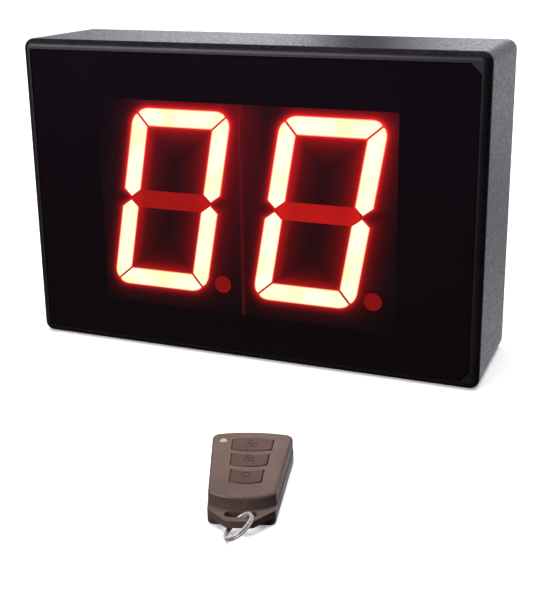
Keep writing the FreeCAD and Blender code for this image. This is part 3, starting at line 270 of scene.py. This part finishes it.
def lit_finish(side):
    """A cast diffuser with its chips on: near white, yellower in places, and red at its very edge."""
    material, tree, shader = new_finish(f"lit_{side}", roughness=0.5, emission_strength=LIT_STRENGTH)
    away = spread(tree, calculate(tree, "ABSOLUTE", from_ring(tree, side)[0]), 0.0, BAR / 2)
    cloud = ramp(tree, noise(tree, 45.0), [(0.32, (0.96, 0.92, 0.50)), (0.55, (1.0, 0.98, 0.74))])
    edge_stops = [
        (0.0, (1, 1, 1)),
        (0.84, (1, 0.97, 0.9)),
        (0.94, (0.95, 0.5, 0.4)),
        (1.0, (0.75, 0.08, 0.06)),
    ]
    feed(
        tree,
        shader,
        emission_color=blend(tree, "MULTIPLY", cloud, ramp(tree, away, edge_stops)),
        base_color=ramp(tree, away, [(0.0, (0.8, 0.3, 0.2)), (1.0, (0.6, 0.1, 0.08))]),
    )
    return material


# The glow's ramps go from REACH inside the ring's middle line to REACH outside it. The near one is the
# painted light in the housing's face round the bars, and the far one is their fainter image, a painted
# reflection.
REACH = 30 * MM
NEAR_GLOW = [
    (0.0, (0.011, 0.0011, 0.0010)),
    (0.08, (0.016, 0.0012, 0.0010)),
    (0.16, (0.027, 0.0013, 0.0011)),
    (0.24, (0.050, 0.0015, 0.0014)),
    (0.30, (0.086, 0.0018, 0.0018)),
    (0.34, (0.145, 0.0022, 0.0024)),
    (0.37, (0.20, 0.0030, 0.0036)),
    (0.39, (0.28, 0.0040, 0.005)),
    (0.402, (0.50, 0.008, 0.006)),
    (0.411, (0.72, 0.010, 0.007)),
    (0.430, (0.58, 0.010, 0.007)),
    (0.570, (0.58, 0.010, 0.007)),
    (0.589, (0.72, 0.010, 0.007)),
    (0.598, (0.50, 0.008, 0.006)),
    (0.612, (0.20, 0.0036, 0.005)),
    (0.635, (0.06, 0.0015, 0.002)),
    (0.66, (0.015, 0.0006, 0.0008)),
    (0.70, (0, 0, 0)),
]
FAR_GLOW = [
    (0.36, (0, 0, 0)),
    (0.41, (0.10, 0.001, 0.001)),
    (0.59, (0.11, 0.001, 0.001)),
    (0.64, (0.072, 0.001, 0.001)),
    (0.70, (0.032, 0.001, 0.001)),
    (0.78, (0.011, 0.0008, 0.0009)),
    (0.88, (0.003, 0.0006, 0.0007)),
    (1.0, (0.0, 0.0003, 0.0003)),
]


def bars_glow(tree):
    """The painted glow of both digits' lit bars, added together."""
    total = None
    for side in SIDES:
        for shift, stops in ((NO_SHIFT, NEAR_GLOW), (FLARE, FAR_GLOW)):
            glow = ramp(tree, spread(tree, from_bars(tree, side, shift), -REACH, REACH), stops)
            total = blend(tree, "ADD", total, glow) if total else glow
    return total


# How far from the modules' joint its painted bright line starts to fade and ends, and how far its painted
# glow reaches.
JOINT_LINE = (0.3 * MM, 1.0 * MM)
JOINT_GLOW_REACH = 16 * MM
# The painted glow by the joint rises to its full level between these heights over the modules' lower end.
JOINT_GLOW_HEIGHTS = (17 * MM, 90 * MM)
# The bars' painted glow grows with height, except in the last stretch at either end of the modules.
GLOW_INSET = 15 * MM
GLOW_SHARES = (0.75, 1.25)
# How far behind the housing's front its glowing face reaches.
FACE_DEPTH = 0.4 * MM


def housing_finish(side):
    """A black housing whose face has painted red light round the lit bars, more inside their ring than
    outside, with a painted glow beside the joint with its neighbour and a fine painted bright line in it."""
    material, tree, shader = new_finish(f"housing_{side}", roughness=0.6, emission_strength=GLOW_STRENGTH)
    low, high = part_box(f"{side}_digit_housing")
    joint = high.x if side == "left" else low.x
    place = split(tree, coordinates(tree))
    height = place["Z"]
    beside = calculate(tree, "ABSOLUTE", calculate(tree, "SUBTRACT", place["X"], joint))
    # Painted light: a fine bright line at the modules' joint, and a red glow beside it that rises with
    # height.
    line = ramp(tree, spread(tree, beside, *JOINT_LINE), [(0.0, (0.09, 0.003, 0.004)), (1.0, (0, 0, 0))])
    joint_glow_stops = [(0.0, (0.042, 0.0003, 0.001)), (0.6, (0.034, 0.0002, 0.0008)), (1.0, (0, 0, 0))]
    haze = ramp(tree, spread(tree, beside, 0.0, JOINT_GLOW_REACH), joint_glow_stops)
    joint_glow_low, joint_glow_high = (low.z + rise for rise in JOINT_GLOW_HEIGHTS)
    haze = blend(tree, "MULTIPLY", haze, spread(tree, height, joint_glow_low, joint_glow_high))
    share = spread(tree, height, low.z + GLOW_INSET, high.z - GLOW_INSET, *GLOW_SHARES)
    # Painted light: the bars' glow on the housing's face, stronger higher up.
    glow = blend(tree, "MULTIPLY", bars_glow(tree), share)
    total = blend(tree, "ADD", blend(tree, "ADD", glow, haze), line)
    in_front = calculate(tree, "LESS_THAN", place["Y"], low.y + FACE_DEPTH)
    grain = noise(tree, 1500.0, detail=3.0)
    feed(
        tree,
        shader,
        emission_color=blend(tree, "MIX", (0, 0, 0, 1), total, in_front),
        base_color=ramp(tree, grain, [(0.3, (0.012, 0.008, 0.010)), (0.7, (0.022, 0.014, 0.018))]),
        normal=bump(tree, grain, 0.02 * MM),
    )
    return material


# How brightly the idle middle bars glow with painted light, and the decimal points below them. The glow goes
# over from one to the other this far round the middle of the height that they take up together.
BAR_GLOW = {"left": 0.38, "right": 0.50}
POINT_GLOW = 0.25
GLOW_CHANGE = 10 * MM
# How much brighter the painted light is at a bar's tips, and between which distances from the ring that
# fades.
TIP_GLOW = 1.45
TIP_REACH = (2 * MM, 10 * MM)


def idle_finish(side):
    """A red diffuser with its chips off, whose emission is painted light for what leaks in: the bar more than
    the point, and most of all its tips."""
    material, tree, shader = new_finish(f"idle_{side}", roughness=0.5, emission_strength=GLOW_STRENGTH)
    mottle = noise(tree, 160.0, detail=3.0)
    low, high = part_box(f"{side}_idle_segments")
    height = split(tree, coordinates(tree))["Z"]
    middle = (low.z + high.z) / 2
    share = spread(tree, height, middle - GLOW_CHANGE, middle + GLOW_CHANGE, POINT_GLOW, BAR_GLOW[side])
    tint = ramp(tree, mottle, [(0.25, (0.92, 0.012, 0.009)), (0.75, (1.0, 0.018, 0.012))])
    from_lit = calculate(tree, "ABSOLUTE", from_ring(tree, side)[0])
    scale = calculate(tree, "MULTIPLY", share, spread(tree, from_lit, *TIP_REACH, TIP_GLOW, 1.0))
    level = add(tree, "ShaderNodeVectorMath", {0: tint, "Scale": scale}, operation="SCALE")
    feed(
        tree,
        shader,
        emission_color=level.outputs[0],
        base_color=ramp(tree, mottle, [(0.25, (0.3, 0.01, 0.01)), (0.75, (0.4, 0.016, 0.014))]),
    )
    return material


CASE_HEIGHT = 178 * MM


def acrylic_finish():
    """Polished smoked acrylic, dark enough to hide all but what glows behind it, with painted light that
    makes it lighter and more violet towards the top.
    """
    material, tree, shader = new_finish("smoked_acrylic", alpha=0.78, specular_ior_level=0.08)
    haze = noise(tree, 30.0, detail=4.0)
    # Painted light: the tint grows lighter and more violet towards the top of the case.
    height = spread(tree, split(tree, coordinates(tree))["Z"], 0.0, CASE_HEIGHT)
    stops = [
        (0.15, (0.0112, 0.0068, 0.0074)),
        (0.5, (0.0112, 0.0062, 0.0092)),
        (0.85, (0.0130, 0.0068, 0.0130)),
    ]
    feed(
        tree,
        shader,
        base_color=ramp(tree, weigh(tree, height, haze, 0.7), stops),
        roughness=spread(tree, haze, 0.3, 0.7, 0.12, 0.18),
    )
    return material


def board_finish():
    """Green solder mask over a woven base, with pale tracks in it."""
    material, tree, shader = new_finish("circuit_board", roughness=0.35)
    inputs = {"Vector": coordinates(tree), "Scale": 140.0}
    cells = add(tree, "ShaderNodeTexVoronoi", inputs, feature="DISTANCE_TO_EDGE").outputs["Distance"]
    weave = noise(tree, 900.0)
    tracks = ramp(tree, cells, [(0.02, (0.06, 0.30, 0.12)), (0.06, (0.012, 0.11, 0.035))])
    mask = ramp(tree, weave, [(0.3, (0.01, 0.07, 0.025)), (0.7, (0.03, 0.17, 0.06))])
    feed(tree, shader, base_color=blend(tree, "MIX", tracks, mask, 0.35), normal=bump(tree, weave, 0.02 * MM))
    return material


def make_finishes():
    """The finish of each CAD node, by its name."""
    finishes = {
        "window_panel": acrylic_finish(),
        "board_pillars": metal("brass", (0.62, 0.44, 0.18), (0.78, 0.60, 0.30)),
        "heat_sink": metal("aluminium", (0.5, 0.5, 0.52), (0.68, 0.68, 0.7), 0.4, 900.0),
        "lead_headers": smooth("nylon", (0.72, 0.70, 0.64), (0.82, 0.80, 0.75), 0.4),
        "buzzer": moulded("sounder", (0.012, 0.012, 0.012), (0.03, 0.03, 0.03), 0.5),
        "capacitors": smooth("sleeve", (0.01, 0.015, 0.06), (0.02, 0.03, 0.10), 0.25),
        "antenna": smooth("antenna_jacket", (0.01, 0.01, 0.01), (0.03, 0.03, 0.03), 0.5),
        "power_inlet": moulded("inlet", (0.010, 0.010, 0.011), (0.028, 0.028, 0.03), 0.35, 0.6, 0.02),
        "remote_lamp": smooth("lens", (0.40, 0.30, 0.24), (0.56, 0.44, 0.36), 0.12),
        "key_ring": smooth("nickel", (0.62, 0.57, 0.53), (0.82, 0.77, 0.72), 0.28, 250.0, metallic=0.45),
        "cell_clip": metal("bronze", (0.5, 0.42, 0.25), (0.66, 0.58, 0.38)),
        "regulator": moulded("regulator", (0.012, 0.012, 0.013), (0.03, 0.03, 0.032), 0.5),
    }
    case = case_finish()
    tape = smooth("tape", (0.008, 0.008, 0.008), (0.02, 0.02, 0.02), 0.8)
    wire = smooth("wire_jacket", (0.34, 0.012, 0.012), (0.5, 0.02, 0.018), 0.45)
    board = board_finish()
    package = moulded("package", (0.010, 0.010, 0.011), (0.028, 0.028, 0.030), 0.5, 0.3, 0.02)
    can = metal("can", (0.52, 0.52, 0.53), (0.72, 0.72, 0.73), 0.3)
    steel = metal("steel", (0.42, 0.42, 0.43), (0.62, 0.62, 0.63), 0.3)
    black_steel = metal("black_steel", (0.02, 0.02, 0.022), (0.06, 0.06, 0.064), 0.4)
    fob = moulded("fob_plastic", (0.075, 0.050, 0.043), (0.160, 0.114, 0.100), 0.42, 0.6, 0.02)
    key = moulded("key_plastic", (0.056, 0.034, 0.029), (0.102, 0.066, 0.058), 0.38, 0.5, 0.015)
    for names, finish in (
        (("case_shell", "rear_cover"), case),
        (("window_tape", "board_screws"), tape),
        (("power_leads", "buzzer_leads"), wire),
        (("main_board", "radio_receiver", "remote_board"), board),
        (("microcontroller", "segment_drivers", "remote_switches", "remote_encoder"), package),
        (("upper_plunger", "middle_plunger", "lower_plunger"), package),
        (("crystal", "remote_resonator", "remote_cell"), can),
        (("inlet_nut", "remote_screws"), steel),
        (("cover_screws", "pillar_screws"), black_steel),
        (("remote_lower_shell", "remote_upper_shell"), fob),
        (("upper_key", "middle_key", "lower_key"), key),
    ):
        finishes.update({name: finish for name in names})
    chips = smooth("chips", (0.7, 0.62, 0.25), (0.85, 0.78, 0.4), 0.3)
    for side in SIDES:
        finishes[f"{side}_digit_housing"] = housing_finish(side)
        finishes[f"{side}_lit_segments"] = lit_finish(side)
        finishes[f"{side}_idle_segments"] = idle_finish(side)
        finishes[f"{side}_module_board"] = board
        finishes[f"{side}_module_pins"] = steel
        finishes[f"{side}_light_chips"] = chips
    return finishes


def apply_finishes(finishes):
    for name, node in nodes.items():
        node.data.materials.clear()
        node.data.materials.append(finishes[name])


# Key marks -----------------------------------------------------------------------------------------

# The remote's turn on the table, as the CAD has it.
REMOTE_TURN = math.radians(18)
# The radius of the marks' lines, and how far over the key's face their middle lies.
MARK_RADIUS = 0.14 * MM
MARK_RISE = 0.01 * MM

# The lines of two padlocks, one open and one closed, and of a ring, in mm about a key's middle.
BODY = [(-2.0, -2.6), (2.0, -2.6), (2.0, 0.4), (-2.0, 0.4)]


def arc(centre_x, centre_y, radius, start, end, steps=12):
    """Points on an arc between two angles in degrees."""
    turns = [math.radians(start + (end - start) * step / steps) for step in range(steps + 1)]
    return [(centre_x + radius * math.cos(turn), centre_y + radius * math.sin(turn)) for turn in turns]


CLOSED_SHACKLE = [(-1.3, 0.4), *arc(0, 1.5, 1.3, 180, 0), (1.3, 0.4)]
OPEN_SHACKLE = [(-1.3, 0.4), *arc(0, 2.0, 1.3, 180, 20)]
RING = arc(0, 0, 1.9, 0, 345, 23)
DOT = arc(0, -1.0, 0.35, 0, 315, 7)


def make_mark(key, strokes, material):
    """The lines of a plain symbol, laid on the middle of a key's face."""
    low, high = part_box(f"{key}_key")
    middle = (low + high) / 2
    data = bpy.data.curves.new(f"{key}_mark", "CURVE")
    data.dimensions = "3D"
    data.bevel_depth = MARK_RADIUS
    data.bevel_resolution = 2
    turn = Matrix.Rotation(REMOTE_TURN, 3, "Z")
    for points, closed in strokes:
        spline = data.splines.new("POLY")
        spline.points.add(len(points) - 1)
        spline.use_cyclic_u = closed
        for corner, (x, y) in zip(spline.points, points):
            turned = turn @ Vector((x, y, 0))
            corner.co = (middle.x + turned.x * MM, middle.y + turned.y * MM, high.z + MARK_RISE, 1.0)
    mark = bpy.data.objects.new(f"{key}_mark", data)
    mark.data.materials.append(material)
    bpy.context.collection.objects.link(mark)
    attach(mark, f"{key}_key")


def make_marks():
    ink = smooth("mark", (0.022, 0.012, 0.011), (0.036, 0.021, 0.019), 0.5)
    make_mark("upper", [(BODY, True), (OPEN_SHACKLE, False), (DOT, True)], ink)
    make_mark("middle", [(BODY, True), (CLOSED_SHACKLE, False), (DOT, True)], ink)
    make_mark("lower", [(RING, True)], ink)


# Stage ---------------------------------------------------------------------------------------------


FLOOR_SIZE = 30.0
# The floor lies this much under the part, so that their faces don't meet.
FLOOR_GAP = 0.2 * MM
# The floor grows lighter to all but the camera from the first of these depths to the second.
FLOOR_DEPTHS = (0.0, 0.35)
# Its own light, which only the camera sees, grows between these distances from the part.
OWN_LIGHT_DISTANCES = (0.4, 1.2)
OWN_LIGHT = (0.3, 1.0)


def make_floor():
    """A pale floor, which throws little light back at the part, and least from in front of it."""
    bpy.ops.mesh.primitive_plane_add(size=FLOOR_SIZE, location=(0.0, 0.0, -FLOOR_GAP))
    floor = bpy.context.object
    floor.name = "floor"
    white = (1, 1, 1, 1)
    material, tree, shader = new_finish("floor", roughness=0.9, specular_ior_level=0.0, emission_color=white)
    place = coordinates(tree)
    depth = spread(tree, split(tree, place)["Y"], *FLOOR_DEPTHS)
    bounced = ramp(tree, depth, [(0.0, (0.04, 0.04, 0.04)), (1.0, (0.5, 0.5, 0.5))])
    direct = ramp(tree, noise(tree, 3.0), [(0.0, (0.90, 0.90, 0.90)), (1.0, (0.93, 0.93, 0.93))])
    seen = add(tree, "ShaderNodeLightPath").outputs["Is Camera Ray"]
    from_part = add(tree, "ShaderNodeVectorMath", {0: place}, operation="LENGTH").outputs["Value"]
    own = spread(tree, from_part, *OWN_LIGHT_DISTANCES, *OWN_LIGHT)
    feed(
        tree,
        shader,
        base_color=blend(tree, "MIX", bounced, direct, seen),
        emission_strength=calculate(tree, "MULTIPLY", seen, own),
    )
    floor.data.materials.append(material)
    floor.visible_glossy = False


# The studio is dark except behind the part: while a direction's backward part goes from the first of
# these to the second, the level goes from dark to light.
BACKWARD = (0.66, 0.86)
BACK_LEVEL = (0.02, 1.15)
STUDIO_STRENGTH = 1.65
BACKDROP_STRENGTH = 1.05
# The levels there by a direction's rise and by its part to the right, which both go from -1 to 1.
LEVELS_BY_RISE = [(-0.36, 1.08), (-0.24, 0.72), (-0.14, 1.2), (-0.04, 1.0)]
LEVELS_TO_RIGHT = [
    (-0.52, 0.44),
    (-0.44, 0.68),
    (-0.36, 0.76),
    (-0.31, 0.02),
    (-0.28, 0.02),
    (-0.2, 0.72),
    (-0.09, 0.64),
    (0.03, 0.33),
]
NO_TINT = (1.0, 1.0, 1.0)
FAINT_VIOLET = (1.0, 0.95, 1.04)


def levels(tree, direction, steps, tint):
    """A ramp over one part of a direction, from -1 to 1, with a tint at each step's level."""
    stops = [((place + 1) / 2, [level * share for share in tint]) for place, level in steps]
    return ramp(tree, spread(tree, direction, -1.0, 1.0), stops)


def make_world():
    """White to the camera. To everything else it is bright behind the part and dark elsewhere."""
    world = bpy.data.worlds.new("studio")
    bpy.context.scene.world = world
    world.use_nodes = True
    tree = world.node_tree
    tree.nodes.clear()
    way = split(tree, coordinates(tree, "Generated"))
    behind = spread(tree, way["Y"], *BACKWARD, *BACK_LEVEL)
    by_rise = levels(tree, way["Z"], LEVELS_BY_RISE, NO_TINT)
    strength = calculate(tree, "MULTIPLY", calculate(tree, "MULTIPLY", behind, by_rise), STUDIO_STRENGTH)
    to_right = levels(tree, way["X"], LEVELS_TO_RIGHT, FAINT_VIOLET)
    soft = add(tree, "ShaderNodeBackground", {"Color": to_right, "Strength": strength})
    plain = add(tree, "ShaderNodeBackground", {"Color": (1, 1, 1, 1), "Strength": BACKDROP_STRENGTH})
    seen = add(tree, "ShaderNodeLightPath").outputs["Is Camera Ray"]
    mix = add(tree, "ShaderNodeMixShader", {0: seen, 1: soft.outputs[0], 2: plain.outputs[0]})
    add(tree, "ShaderNodeOutputWorld", {"Surface": mix.outputs[0]})


def make_light(name, place, target, size, power, colour=(1.0, 1.0, 1.0)):
    """A rectangular lamp that faces its target. Its power is in watts."""
    lamp = bpy.data.lights.new(name, "AREA")
    lamp.shape = "RECTANGLE"
    lamp.size, lamp.size_y = size
    lamp.energy = power
    lamp.color = colour
    light = bpy.data.objects.new(name, lamp)
    light.location = place
    light.rotation_euler = (Vector(target) - Vector(place)).to_track_quat("-Z", "Y").to_euler()
    bpy.context.collection.objects.link(light)
    return light


# The photo's camera, as fitted to the corners of the case, the window and both modules. The lens and
# the sensor are in mm, the shift in parts of the frame's longer side, and the turns in degrees.
LENS = 64.203
SENSOR_WIDTH = 36.0
CAMERA_SHIFT = (-0.0263, -0.0763)
CAMERA_PLACE = (0.22974, -0.54889, 0.2316)
CAMERA_TURNS = (73.4884, 0.5601, 21.453)


def make_camera():
    data = bpy.data.cameras.new("camera")
    data.lens = LENS
    data.sensor_width = SENSOR_WIDTH
    data.shift_x, data.shift_y = CAMERA_SHIFT
    data.clip_start = 0.01
    camera = bpy.data.objects.new("camera", data)
    camera.location = CAMERA_PLACE
    camera.rotation_euler = [math.radians(turn) for turn in CAMERA_TURNS]
    bpy.context.collection.objects.link(camera)
    bpy.context.scene.camera = camera


def make_stage():
    make_floor()
    make_world()
    overhead = make_light("overhead", (0.0, -0.1, 1.6), (0.0, -0.1, 0.0), size=(1.8, 1.8), power=48.0)
    overhead.visible_glossy = False
    soft_box = {"size": (0.72, 0.42), "power": 7.0, "colour": (1.0, 0.95, 1.0)}
    make_light("soft_box", (-0.53, -1.03, 0.40), (0.0, -0.03, 0.17), **soft_box)
    make_camera()
    bpy.context.scene.view_settings.view_transform = "Standard"


apply_finishes(make_finishes())
make_marks()
make_stage()
